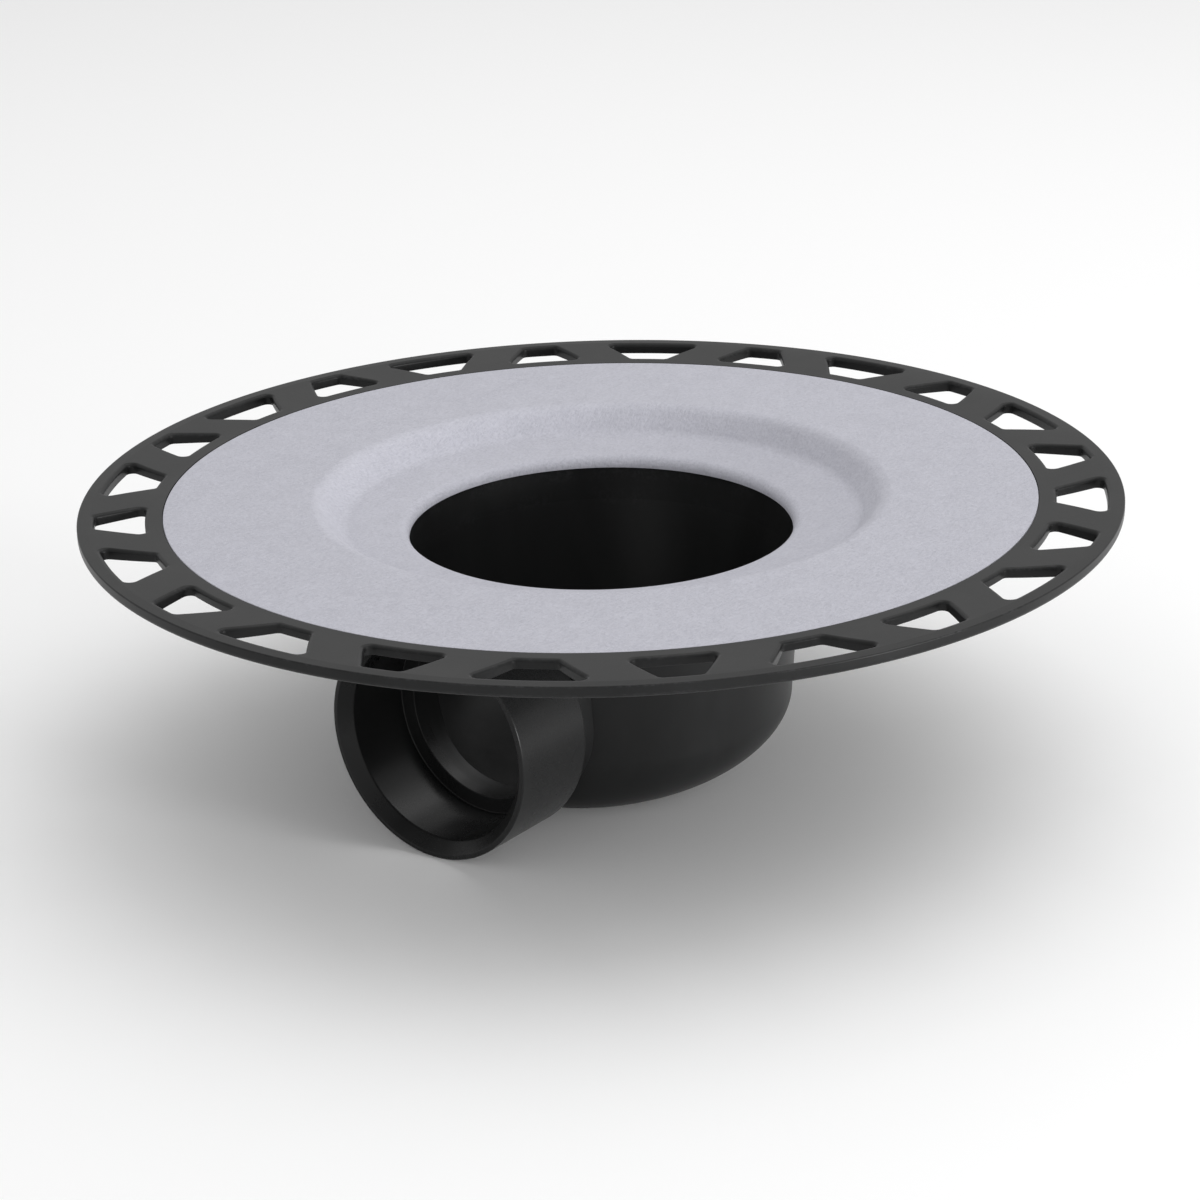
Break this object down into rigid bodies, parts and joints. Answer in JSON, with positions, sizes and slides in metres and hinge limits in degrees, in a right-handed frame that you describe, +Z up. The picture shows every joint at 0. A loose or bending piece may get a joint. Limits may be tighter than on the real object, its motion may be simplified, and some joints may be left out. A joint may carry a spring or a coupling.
{
  "type": "shower drain flange",
  "caption": "Round bonding flange for a shower floor drain: slotted rim, fleece-lined dish, open throat, sloped bowl and a side outlet socket.",
  "frame": {"origin": "on the drain axis, in the plane of the flange's underside, where the flange rests on the subfloor around its cut-out", "axes": "+Z up along the drain axis out of the throat, -Y along the outlet towards its open mouth, +X to the right when the outlet faces the viewer"},
  "size_m": [0.308, 0.308, 0.0882],
  "materials": {
    "flange_plastic": "black, moulded, satin",
    "bowl_plastic": "black, moulded, satin",
    "hub_plastic": "black, moulded, satin",
    "fleece_felt": "grey needled fleece"
  },
  "bodies": {
    "root": {"bonding_flange": "flange_plastic", "fleece_membrane": "fleece_felt", "drain_bowl": "bowl_plastic", "outlet_saddle": "bowl_plastic", "outlet_hub": "hub_plastic"}
  },
  "joints": []
}
